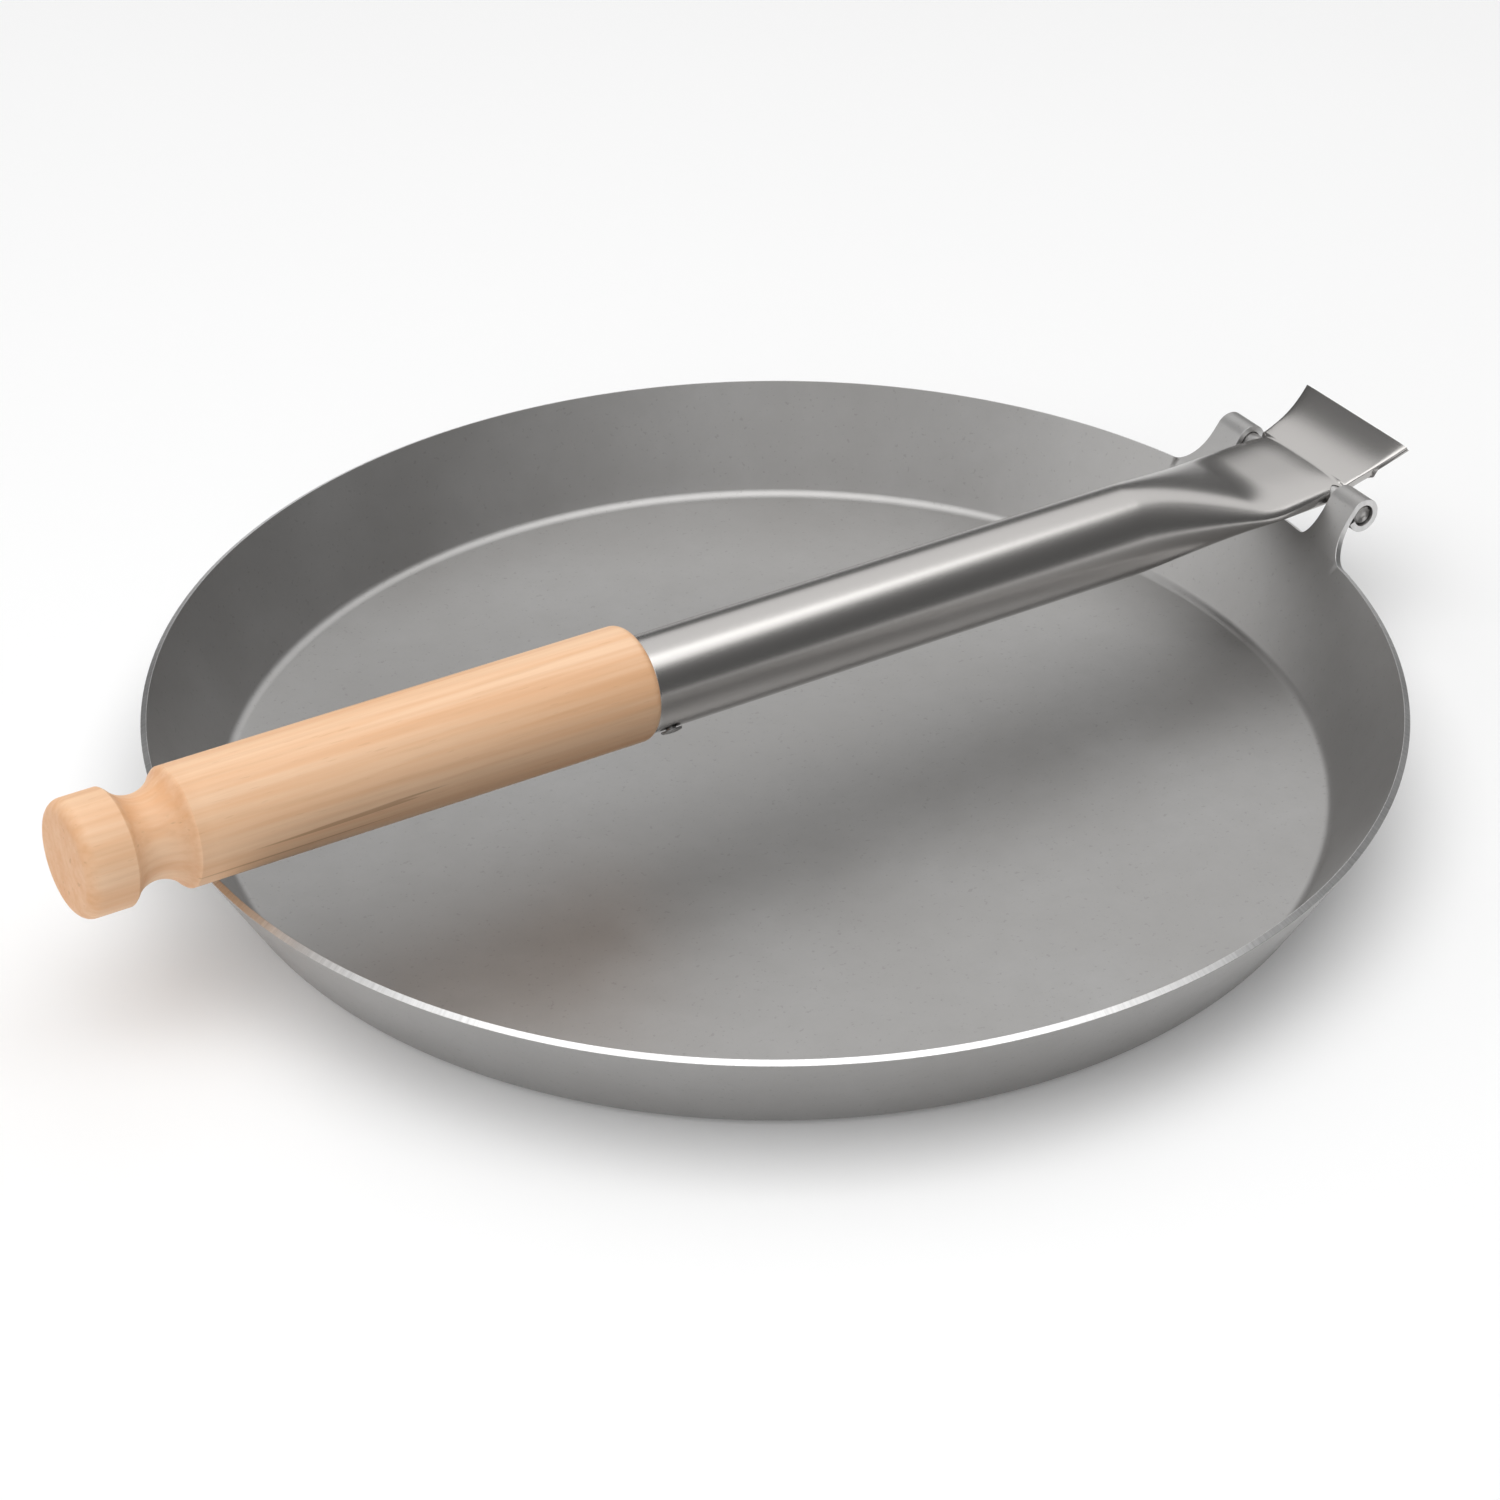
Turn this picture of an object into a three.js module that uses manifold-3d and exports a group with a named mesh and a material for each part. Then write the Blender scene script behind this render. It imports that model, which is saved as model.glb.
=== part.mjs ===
// Camp frying pan with a folding tube handle.
// Millimetres, +Z up. The origin is the centre of the flat underside, +X points at the
// hinge and +Y runs along the hinge pin. The handle is modelled folded over the bowl.

import * as THREE from 'three';
import { mergeVertices } from 'three/addons/utils/BufferGeometryUtils.js';
import Module from 'manifold-3d';

const wasm = await Module();
wasm.setup();

const DEG = Math.PI / 180;

// Pan: one pressed sheet of steel.
const SHEET = 1.8;
const RIM_RADIUS = 160;
const RIM_HEIGHT = 30.5;
const FLOOR_RADIUS = 141.7;
const BEND_RADIUS = 3.5;
const BEND_STEPS = 5;
const PAN_SEGMENTS = 128;

// Hinge: two ears of the same sheet, curled round one pin.
const PIN_X = 169.6;
const PIN_Z = 38.7;
const PIN_RADIUS = 2.8;
const PIN_HALF_LENGTH = 28.6;
const PIN_CHAMFER = 0.4;
const PIN_SEGMENTS = 32;
const EAR_INNER_Y = 19.5;
const EAR_OUTER_Y = 29.2;
const EAR_FILLET = 7;
const EAR_INNER_FILLET = 4;
const FILLET_SHARE = 0.8;
const EAR_ROOT_DEPTH = 3;
const EAR_ROOT_SHEET = 1.3;
const CURL_RADIUS = 3.9;
const CURL_END_ANGLE = -163 * DEG;
const EAR_STEPS = { root: 2, rise: 7, curl: 22, across: 4 };

// Handle tube: round, then flattened over the pin, then pinched into a tongue.
// A section has its highest, folded side and lowest point as (along, up) from the pin, a
// half width, and how square its upper and lower halves are (2 is an ellipse).
const TUBE_RADIUS = 12.5;
const TUBE_WALL = 1.2;
const TUBE_MOUTH = -211.4;
const MOUTH_DROP = 2.1;
const FLARE_DROP = 1.4;
const HANDLE_TILT = 1.5 * DEG;
const FLARE_START = -60;
const FLARE_EASE = 1.5;
const PINCH = {
  top: [-21.5, 3.2], fold: [-21.5, -0.4], bottom: [-21.5, -3.9], halfWidth: 18.6,
  upper: 3, lower: 2,
};
const HUMP = {
  top: [-1, 4], fold: [-1, 0.5], bottom: [-1, -4.3], halfWidth: 17.7, upper: 3.2, lower: 2,
};
const BEND = {
  top: [2.1, 3.7], fold: [2.3, 0.9], bottom: [3.6, -4.1], halfWidth: 17.8, upper: 3.5, lower: 2,
};
const TONGUE_PULL = [11, 5.5];
const TONGUE_TIP = [19.9, 11.9];
const TONGUE_TIP_HALF_WIDTH = 21.4;
const TONGUE_SQUARENESS = 5;
const LIP_END = [10.8, -1.3];
const LIP_SHARE = 0.52;
const LIP_STEP = 0.04;
const TUBE_SEGMENTS = 40;
const PIN_HOLE_RADIUS = 3;
const PIN_HOLE_LENGTH = 60;

// Wooden grip: a turned handle, off centre on the spigot that fills the tube's mouth.
const GRIP_RADIUS = 15.1;
const GRIP_EDGE_RADIUS = 2.6;
const GRIP_BODY_LENGTH = 127.2;
const GRIP_DROP = 0.3;
const NECK_LENGTH = 15.4;
const NECK_RADIUS = 10.8;
const KNOB_RADIUS = 14.8;
const KNOB_LENGTH = 12.6;
const KNOB_EDGE_RADIUS = 3.4;
const SPIGOT_RADIUS = 10.85;
const SPIGOT_LENGTH = 32;
const SPIGOT_CHAMFER = 1;
const GRIP_SEGMENTS = 44;
const CLEARANCE = 0.3;

// Fixing screw through the tube wall into the spigot.
const SCREW_FROM_MOUTH = 6;
const SCREW_ANGLE = 38 * DEG;
const SCREW_HEAD_RADIUS = 2.8;
const SCREW_HEAD_HEIGHT = 1;
const SCREW_SHANK_RADIUS = 1.4;
const SCREW_LENGTH = 8;
const SCREW_POINT_LENGTH = 2;
const SCREW_POINT_RADIUS = 0.4;
const SCREW_SEGMENTS = 24;

const group = new THREE.Group();

function steel(color, roughness) {
  return new THREE.MeshStandardMaterial({ color, roughness, metalness: 1 });
}

function addMesh(parent, name, geometry, material) {
  geometry.computeVertexNormals();
  const mesh = new THREE.Mesh(geometry, material);
  mesh.name = name;
  parent.add(mesh);
  return mesh;
}

// Solids and booleans.

function toSolid(geometry) {
  const bare = geometry.clone();
  bare.deleteAttribute('normal');
  bare.deleteAttribute('uv');
  const merged = mergeVertices(bare, 1e-4);
  return new wasm.Manifold(new wasm.Mesh({
    numProp: 3,
    vertProperties: new Float32Array(merged.attributes.position.array),
    triVerts: new Uint32Array(merged.index.array),
  }));
}

function toGeometry(solid) {
  const mesh = solid.getMesh();
  const geometry = new THREE.BufferGeometry();
  geometry.setAttribute('position', new THREE.BufferAttribute(mesh.vertProperties, 3));
  geometry.setIndex(new THREE.BufferAttribute(mesh.triVerts, 1));
  return geometry;
}

// Moves every point of a geometry through a function of its own position.
function reshape(geometry, place) {
  const position = geometry.attributes.position;
  const point = new THREE.Vector3();
  for (let i = 0; i < position.count; i += 1) {
    point.fromBufferAttribute(position, i);
    place(point);
    position.setXYZ(i, point.x, point.y, point.z);
  }
  return geometry;
}

function arcPoints(centreX, centreY, radius, from, to, steps) {
  const points = [];
  for (let i = 0; i <= steps; i += 1) {
    const angle = from + (to - from) * i / steps;
    points.push(new THREE.Vector2(
      centreX + radius * Math.cos(angle),
      centreY + radius * Math.sin(angle),
    ));
  }
  return points;
}

function smoothStep(value) {
  const t = THREE.MathUtils.clamp(value, 0, 1);
  return t * t * (3 - 2 * t);
}

// Pan.

// Slope of the wall: the line from the end of the floor bend to the rim.
function wallSlope() {
  const across = RIM_RADIUS - FLOOR_RADIUS;
  const up = RIM_HEIGHT - SHEET - BEND_RADIUS;
  const reach = Math.hypot(across, up);
  return Math.atan2(up, across) + Math.asin(BEND_RADIUS / reach);
}

const WALL_SLOPE = wallSlope();

function bowlProfile() {
  const bendZ = SHEET + BEND_RADIUS;
  const down = -Math.PI / 2;
  const wall = WALL_SLOPE - Math.PI / 2;
  const outer = arcPoints(FLOOR_RADIUS, bendZ, BEND_RADIUS + SHEET, down, wall, BEND_STEPS);
  const inner = arcPoints(FLOOR_RADIUS, bendZ, BEND_RADIUS, wall, down, BEND_STEPS);
  return [
    new THREE.Vector2(0, 0),
    ...outer,
    new THREE.Vector2(
      RIM_RADIUS + SHEET * Math.sin(WALL_SLOPE),
      RIM_HEIGHT - SHEET * Math.cos(WALL_SLOPE),
    ),
    new THREE.Vector2(RIM_RADIUS, RIM_HEIGHT),
    ...inner,
    new THREE.Vector2(0, SHEET),
  ];
}

function bowlGeometry() {
  const geometry = new THREE.LatheGeometry(bowlProfile(), PAN_SEGMENTS);
  geometry.rotateX(Math.PI / 2);
  return geometry;
}

// Middle line of the ear's sheet at one distance y from the centre: up the wall to the
// rim, straight to the curl, then round the pin. Returns the point and the direction.
function earLine(y, part, along) {
  const half = SHEET / 2;
  const rimX = Math.sqrt(RIM_RADIUS ** 2 - y ** 2) + half * Math.sin(WALL_SLOPE);
  const rimZ = RIM_HEIGHT - half * Math.cos(WALL_SLOPE);
  if (part === 'root') {
    const back = EAR_ROOT_DEPTH * (1 - along);
    return {
      x: rimX - back * Math.cos(WALL_SLOPE),
      z: rimZ - back * Math.sin(WALL_SLOPE),
      heading: WALL_SLOPE,
    };
  }
  const reach = Math.hypot(PIN_X - rimX, PIN_Z - rimZ);
  const toPin = Math.atan2(PIN_Z - rimZ, PIN_X - rimX);
  const heading = toPin + Math.asin(CURL_RADIUS / reach);
  const startAngle = heading + Math.PI / 2;
  if (part === 'rise') {
    const endX = PIN_X + CURL_RADIUS * Math.cos(startAngle);
    const endZ = PIN_Z + CURL_RADIUS * Math.sin(startAngle);
    return {
      x: THREE.MathUtils.lerp(rimX, endX, along),
      z: THREE.MathUtils.lerp(rimZ, endZ, along),
      heading: THREE.MathUtils.lerp(WALL_SLOPE, heading, smoothStep(along * 2)),
    };
  }
  const angle = THREE.MathUtils.lerp(startAngle, CURL_END_ANGLE, along);
  return {
    x: PIN_X + CURL_RADIUS * Math.cos(angle),
    z: PIN_Z + CURL_RADIUS * Math.sin(angle),
    heading: angle - Math.PI / 2,
  };
}

// Splits a step along the whole ear into its part and the share of that part.
function earPart(step) {
  const { root, rise, curl } = EAR_STEPS;
  if (step <= root) {
    return { part: 'root', along: step / root };
  }
  if (step <= root + rise) {
    return { part: 'rise', along: (step - root) / rise };
  }
  return { part: 'curl', along: (step - root - rise) / curl };
}

// Share of the fillet's width that is left where the ear runs into the rim.
function earFlare(part, along) {
  if (part === 'curl') {
    return 0;
  }
  const height = part === 'root' ? 0 : Math.min(along / FILLET_SHARE, 1);
  return 1 - Math.sqrt(1 - (1 - height) ** 2);
}

function earGeometry(side) {
  const steps = EAR_STEPS.root + EAR_STEPS.rise + EAR_STEPS.curl;
  const geometry = new THREE.BoxGeometry(1, 1, 1, EAR_STEPS.across, steps, 1);
  return reshape(geometry, (point) => {
    const { part, along } = earPart(Math.round((point.y + 0.5) * steps));
    const flare = earFlare(part, along);
    const low = EAR_INNER_Y - EAR_INNER_FILLET * flare;
    const high = EAR_OUTER_Y + EAR_FILLET * flare;
    const across = side > 0 ? 0.5 - point.x : 0.5 + point.x;
    const y = low + (high - low) * across;
    const line = earLine(y, part, along);
    const sheet = part === 'root' && along < 1 ? EAR_ROOT_SHEET : SHEET;
    const offset = point.z * sheet;
    point.set(
      line.x - offset * Math.sin(line.heading),
      side * y,
      line.z + offset * Math.cos(line.heading),
    );
  });
}

function panGeometry() {
  const bowl = toSolid(bowlGeometry());
  const ears = toSolid(earGeometry(1)).add(toSolid(earGeometry(-1)));
  return toGeometry(bowl.add(ears));
}

addMesh(group, 'pan_body', panGeometry(), steel(0x8f8e8b, 0.38));

// Hinge pin.

function pinGeometry() {
  const points = [
    new THREE.Vector2(0, -PIN_HALF_LENGTH),
    new THREE.Vector2(PIN_RADIUS - PIN_CHAMFER, -PIN_HALF_LENGTH),
    new THREE.Vector2(PIN_RADIUS, -PIN_HALF_LENGTH + PIN_CHAMFER),
    new THREE.Vector2(PIN_RADIUS, PIN_HALF_LENGTH - PIN_CHAMFER),
    new THREE.Vector2(PIN_RADIUS - PIN_CHAMFER, PIN_HALF_LENGTH),
    new THREE.Vector2(0, PIN_HALF_LENGTH),
  ];
  return new THREE.LatheGeometry(points, PIN_SEGMENTS);
}

const hingePin = addMesh(group, 'hinge_pin', pinGeometry(), steel(0x7d7c7a, 0.45));
hingePin.position.set(PIN_X, 0, PIN_Z);

// Handle. Its group turns about the pin: local X runs along the tube towards the tongue.

const handle = new THREE.Group();
handle.position.set(PIN_X, 0, PIN_Z);
handle.rotation.y = HANDLE_TILT;
group.add(handle);

function blendSections(from, to, share) {
  const mix = (key) => THREE.MathUtils.lerp(from[key], to[key], share);
  const mixPoint = (key) => from[key].map((value, i) => {
    return THREE.MathUtils.lerp(value, to[key][i], share);
  });
  return {
    top: mixPoint('top'),
    fold: mixPoint('fold'),
    bottom: mixPoint('bottom'),
    halfWidth: mix('halfWidth'),
    upper: mix('upper'),
    lower: mix('lower'),
  };
}

function roundSection(along) {
  const share = (along - TUBE_MOUTH) / (FLARE_START - TUBE_MOUTH);
  const axis = THREE.MathUtils.lerp(-MOUTH_DROP, -FLARE_DROP, share);
  return {
    top: [along, axis + TUBE_RADIUS],
    fold: [along, axis],
    bottom: [along, axis - TUBE_RADIUS],
    halfWidth: TUBE_RADIUS,
    upper: 2,
    lower: 2,
  };
}

// From the round tube at share 0 to the pinched section at share 1.
function flareSection(share) {
  const along = THREE.MathUtils.lerp(FLARE_START, PINCH.top[0], share);
  const section = blendSections(roundSection(FLARE_START), PINCH, share ** FLARE_EASE);
  [section.top, section.fold, section.bottom].forEach((point) => {
    point[0] = along;
  });
  return section;
}

// Up the tongue from the bend at share 0 to its tip at share 1. The lower wall ends in a
// lip, past which the two walls lie against each other.
function tongueSection(share) {
  const curve = new THREE.QuadraticBezierCurve(
    new THREE.Vector2(...BEND.top),
    new THREE.Vector2(...TONGUE_PULL),
    new THREE.Vector2(...TONGUE_TIP),
  );
  const top = curve.getPoint(share);
  const uphill = curve.getTangent(share);
  const below = (depth) => [top.x + depth * uphill.y, top.y - depth * uphill.x];
  const lip = share / LIP_SHARE;
  const closed = lip > 1;
  const heel = BEND.bottom.map((value, i) => THREE.MathUtils.lerp(value, LIP_END[i], lip));
  const spread = TONGUE_TIP_HALF_WIDTH - BEND.halfWidth;
  return {
    top: [top.x, top.y],
    fold: below(TUBE_WALL),
    bottom: closed ? below(2 * TUBE_WALL) : heel,
    halfWidth: BEND.halfWidth + spread * share ** 2,
    upper: TONGUE_SQUARENESS,
    lower: closed ? TONGUE_SQUARENESS : BEND.lower,
  };
}

// Places one point of a unit ring on a section, set in from the skin by inset.
function placeOnSection(point, section, inset) {
  const angle = Math.atan2(point.z, point.x);
  const radius = Math.hypot(point.x, point.z);
  const raised = Math.sin(angle) >= 0;
  const squareness = raised ? section.upper : section.lower;
  const roundOff = (value) => radius * Math.abs(value) ** (2 / squareness);
  const across = (section.halfWidth - inset) * roundOff(Math.cos(angle));
  const middle = new THREE.Vector2(...section.fold);
  const reach = new THREE.Vector2(...(raised ? section.top : section.bottom)).sub(middle);
  reach.setLength(reach.length() - inset);
  middle.addScaledVector(reach, roundOff(Math.sin(angle)));
  point.set(middle.x, -across * Math.sign(Math.cos(angle)), middle.y);
}

function evenSteps(from, to, count) {
  return Array.from({ length: count + 1 }, (_, i) => from + (to - from) * i / count);
}

// One closed body through the given sections, each a full ring.
function tubeBody(sections, inset) {
  const last = sections.length - 1;
  const geometry = new THREE.CylinderGeometry(1, 1, 1, TUBE_SEGMENTS, last);
  return reshape(geometry, (point) => {
    placeOnSection(point, sections[Math.round((point.y + 0.5) * last)], inset);
  });
}

function pinHole() {
  const across = new THREE.CylinderGeometry(
    PIN_HOLE_RADIUS, PIN_HOLE_RADIUS, PIN_HOLE_LENGTH, PIN_SEGMENTS,
  );
  return toSolid(across);
}

function screwPlacement() {
  const along = TUBE_MOUTH + SCREW_FROM_MOUTH;
  const matrix = new THREE.Matrix4().makeTranslation(along, 0, -MOUTH_DROP);
  return matrix.multiply(new THREE.Matrix4().makeRotationX(-SCREW_ANGLE));
}

// A rod that stands in the screw's place, reaching from the axis out of the tube.
function screwRod(radius, from, to) {
  const geometry = new THREE.CylinderGeometry(radius, radius, to - from, SCREW_SEGMENTS);
  geometry.rotateX(Math.PI / 2);
  geometry.translate(0, 0, -(from + to) / 2);
  geometry.applyMatrix4(screwPlacement());
  return toSolid(geometry);
}

function tubeGeometry() {
  const walls = [
    ...evenSteps(0, 1, 9).map(flareSection),
    blendSections(PINCH, HUMP, 0.5),
    HUMP,
    BEND,
  ];
  const tongueSteps = [0.28, LIP_SHARE, LIP_SHARE + LIP_STEP, 0.8, 1];
  const skinSections = [
    roundSection(TUBE_MOUTH),
    ...walls,
    ...tongueSteps.map(tongueSection),
  ];
  const hollowSections = [roundSection(TUBE_MOUTH - 1), ...walls];
  const skin = toSolid(tubeBody(skinSections, 0));
  const hollow = toSolid(tubeBody(hollowSections, TUBE_WALL));
  const screwHole = screwRod(SCREW_SHANK_RADIUS + CLEARANCE, SPIGOT_RADIUS, TUBE_RADIUS + 1);
  return toGeometry(skin.subtract(hollow).subtract(pinHole()).subtract(screwHole));
}

addMesh(handle, 'handle_tube', tubeGeometry(), steel(0xa3a19d, 0.3));

// Wooden grip. Profile points are (radius, distance back from the tube's mouth), so that
// they run towards -X.

function neckProfile(start) {
  const half = NECK_LENGTH / 2;
  const depth = GRIP_RADIUS - NECK_RADIUS;
  const cove = (half ** 2 + depth ** 2) / (2 * depth);
  const spread = Math.asin(half / cove);
  const points = [];
  const steps = 10;
  for (let i = 0; i <= steps; i += 1) {
    const angle = THREE.MathUtils.lerp(-spread, spread, i / steps);
    const blend = THREE.MathUtils.lerp(0, GRIP_RADIUS - KNOB_RADIUS, i / steps);
    points.push(new THREE.Vector2(
      NECK_RADIUS + cove * (1 - Math.cos(angle)) - blend,
      start + half + cove * Math.sin(angle),
    ));
  }
  return points;
}

function gripProfile() {
  const front = CLEARANCE;
  const bodyEnd = front + GRIP_BODY_LENGTH;
  const knobStart = bodyEnd + NECK_LENGTH;
  const knobEnd = knobStart + KNOB_LENGTH;
  const frontEdge = arcPoints(
    GRIP_RADIUS - GRIP_EDGE_RADIUS, front + GRIP_EDGE_RADIUS, GRIP_EDGE_RADIUS,
    -Math.PI / 2, 0, 5,
  );
  const buttEdge = arcPoints(
    KNOB_RADIUS - KNOB_EDGE_RADIUS, knobEnd - KNOB_EDGE_RADIUS, KNOB_EDGE_RADIUS,
    0, Math.PI / 2, 6,
  );
  return [
    new THREE.Vector2(0, front),
    ...frontEdge,
    ...neckProfile(bodyEnd),
    ...buttEdge,
    new THREE.Vector2(0, knobEnd),
  ];
}

function spigotProfile() {
  return [
    new THREE.Vector2(0, -SPIGOT_LENGTH),
    new THREE.Vector2(SPIGOT_RADIUS - SPIGOT_CHAMFER, -SPIGOT_LENGTH),
    new THREE.Vector2(SPIGOT_RADIUS, -SPIGOT_LENGTH + SPIGOT_CHAMFER),
    new THREE.Vector2(SPIGOT_RADIUS, GRIP_EDGE_RADIUS),
    new THREE.Vector2(0, GRIP_EDGE_RADIUS),
  ];
}

function turnedAt(profile, drop) {
  const geometry = new THREE.LatheGeometry(profile, GRIP_SEGMENTS);
  geometry.rotateZ(Math.PI / 2);
  geometry.translate(TUBE_MOUTH, 0, -drop);
  return toSolid(geometry);
}

function gripGeometry() {
  const body = turnedAt(gripProfile(), GRIP_DROP);
  const spigot = turnedAt(spigotProfile(), MOUTH_DROP);
  const pilot = screwRod(
    SCREW_SHANK_RADIUS + CLEARANCE,
    TUBE_RADIUS - SCREW_LENGTH - CLEARANCE,
    TUBE_RADIUS,
  );
  return toGeometry(body.add(spigot).subtract(pilot));
}

const gripWood = new THREE.MeshStandardMaterial({ color: 0xe3bf96, roughness: 0.6, metalness: 0 });
addMesh(handle, 'wood_grip', gripGeometry(), gripWood);

// Screw: a domed head outside the tube and a plain shank, pointing at the axis.

function screwGeometry() {
  const seat = TUBE_RADIUS + CLEARANCE;
  const dome = [];
  const steps = 6;
  for (let i = 0; i <= steps; i += 1) {
    const angle = (Math.PI / 2) * i / steps;
    dome.push(new THREE.Vector2(
      SCREW_HEAD_RADIUS * Math.cos(angle),
      seat + SCREW_HEAD_HEIGHT * Math.sin(angle),
    ));
  }
  dome[steps].x = 0;
  const points = [
    new THREE.Vector2(0, TUBE_RADIUS - SCREW_LENGTH),
    new THREE.Vector2(SCREW_POINT_RADIUS, TUBE_RADIUS - SCREW_LENGTH),
    new THREE.Vector2(SCREW_SHANK_RADIUS, TUBE_RADIUS - SCREW_LENGTH + SCREW_POINT_LENGTH),
    new THREE.Vector2(SCREW_SHANK_RADIUS, seat),
    ...dome,
  ];
  const geometry = new THREE.LatheGeometry(points, SCREW_SEGMENTS);
  geometry.rotateX(-Math.PI / 2);
  geometry.applyMatrix4(screwPlacement());
  return geometry;
}

addMesh(handle, 'grip_screw', screwGeometry(), steel(0x6f6e6c, 0.5));

export default group;
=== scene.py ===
"""Looks of the folding-handle frying pan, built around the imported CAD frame.

Lengths are in millimetres until a mesh is made, and the row frame is in metres.
"""

import math

import bpy
import numpy as np
from mathutils import Matrix, Vector


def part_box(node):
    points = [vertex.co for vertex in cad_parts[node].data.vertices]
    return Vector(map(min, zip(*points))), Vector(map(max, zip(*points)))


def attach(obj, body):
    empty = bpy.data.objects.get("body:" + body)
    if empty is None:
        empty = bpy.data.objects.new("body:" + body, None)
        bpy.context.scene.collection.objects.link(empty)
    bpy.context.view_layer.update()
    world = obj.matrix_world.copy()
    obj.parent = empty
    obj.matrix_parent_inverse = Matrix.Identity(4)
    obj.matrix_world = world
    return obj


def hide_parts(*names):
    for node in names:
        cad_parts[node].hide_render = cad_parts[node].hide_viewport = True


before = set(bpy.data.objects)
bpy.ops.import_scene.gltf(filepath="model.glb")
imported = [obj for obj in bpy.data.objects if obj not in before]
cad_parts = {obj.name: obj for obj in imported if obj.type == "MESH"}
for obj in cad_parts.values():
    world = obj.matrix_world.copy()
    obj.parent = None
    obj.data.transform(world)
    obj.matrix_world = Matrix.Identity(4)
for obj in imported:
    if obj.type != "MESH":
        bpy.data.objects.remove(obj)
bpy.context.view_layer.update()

MM = 0.001

# Places that the frame gives.
PIN_LOW, PIN_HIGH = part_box("hinge_pin")
PAN_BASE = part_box("pan_body")[0].z
PIN = (PIN_LOW + PIN_HIGH) / 2
PIN_X = PIN.x / MM
PIN_Z = PIN.z / MM
PIN_RADIUS = (PIN_HIGH.z - PIN_LOW.z) / 2 / MM
PIN_HALF_LENGTH = PIN_HIGH.y / MM

# Pan.
SHEET = 1.8
RIM_RADIUS = 160.0
RIM_HEIGHT = 30.5
FLOOR_RADIUS = 141.7
BEND_RADIUS = 3.5
EDGE_ROUND = 0.28

# Ears.
EAR_INNER_Y = 19.5
EAR_OUTER_Y = 29.2
EAR_FILLET = 7.0
EAR_INNER_FILLET = 4.0
FILLET_SHARE = 0.8
CURL_RADIUS = 3.9
CURL_END = math.radians(-163)
EAR_COLUMNS = 14
FILLET_ROWS = 14
RISE_ROWS = 4
CURL_ROWS = 48

# Tube, in the handle's own frame: x along it towards the tongue, the pin at the origin.
HANDLE_TILT = math.radians(1.5)
TUBE_RADIUS = 12.5
TUBE_WALL = 1.2
TUBE_MOUTH = -211.4
MOUTH_DROP = 2.1
FLARE_DROP = 1.4
FLARE_START = -60.0
FLARE_EASE = 1.5
TONGUE_PULL = Vector((11.0, 5.5))
TONGUE_TIP = Vector((19.85, 11.88))
TONGUE_TIP_HALF_WIDTH = 21.4
TONGUE_SQUARENESS = 7.0
TONGUE_GROOVE = 1.2
LIP_END = Vector((10.8, -1.3))
LIP_SHARE = 0.52
LIP_STEP = 0.04
PIN_HOLE_CLEARANCE = 0.2
MOUTH_EDGE = 0.3
TUBE_SIDES = 144

# Where the soft bends start and end: shares of the flare, then of the flat after the pinch.
PINCH_FROM = 0.88
PINCH_TO = 0.25
CREST_FROM = 0.8

# Grip.
GRIP_RADIUS = 15.1
GRIP_EDGE = 2.6
GRIP_BODY = 127.2
GRIP_DROP = 0.3
NECK_LENGTH = 15.4
NECK_RADIUS = 10.8
KNOB_RADIUS = 14.8
KNOB_LENGTH = 12.6
KNOB_EDGE = 3.4
SPIGOT_RADIUS = 10.6
SPIGOT_LENGTH = 32.0
SPIGOT_CHAMFER = 1.0
CLEARANCE = 0.3
GRIP_SIDES = 128

# Fixing screw.
SCREW_FROM_MOUTH = 6.0
SCREW_ANGLE = math.radians(38)
SCREW_HEAD_RADIUS = 2.8
SCREW_HEAD_HEIGHT = 1.0
SCREW_SHANK_RADIUS = 1.4
SCREW_LENGTH = 8.0
SCREW_POINT_LENGTH = 2.0
SCREW_POINT_RADIUS = 0.42
SCREW_HEAD_EDGE = 0.35

HANDLE_FRAME = Matrix.Translation(PIN) @ Matrix.Rotation(HANDLE_TILT, 4, "Y")


# Small helpers.

def lerp(a, b, share):
    return a + (b - a) * share


def smooth(value):
    t = min(max(value, 0.0), 1.0)
    return t * t * (3 - 2 * t)


def even(start, end, count):
    """count + 1 values from start to end."""
    return [lerp(start, end, i / count) for i in range(count + 1)]


def arc(centre_x, centre_y, radius, start, end, count):
    """Points of an arc; the angles are in radians."""
    return [
        (centre_x + radius * math.cos(a), centre_y + radius * math.sin(a))
        for a in even(start, end, count)
    ]


def quadratic(a, b, c, share):
    """Point of a quadratic curve from a to c that b pulls."""
    return a.lerp(b, share).lerp(b.lerp(c, share), share)


# Meshes.

class Shell:
    """Points and faces of one closed piece, with a material index for each face."""

    def __init__(self):
        self.points = []
        self.faces = []
        self.kinds = []

    def point(self, x, y, z):
        self.points.append((x, y, z))
        return len(self.points) - 1

    def face(self, corners, kind=0):
        self.faces.append(corners)
        self.kinds.append(kind)

    def ring(self, points):
        return [self.point(*p) for p in points]

    def bridge(self, ring_a, ring_b, kind=0):
        """Quads between two closed rings of the same length."""
        count = len(ring_a)
        for i in range(count):
            j = (i + 1) % count
            self.face((ring_a[i], ring_a[j], ring_b[j], ring_b[i]), kind)

    def fan(self, tip, ring, kind=0, flipped=False):
        """Triangles between one point and a closed ring."""
        count = len(ring)
        for i in range(count):
            j = (i + 1) % count
            pair = (ring[j], ring[i]) if flipped else (ring[i], ring[j])
            self.face((tip, *pair), kind)


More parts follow.
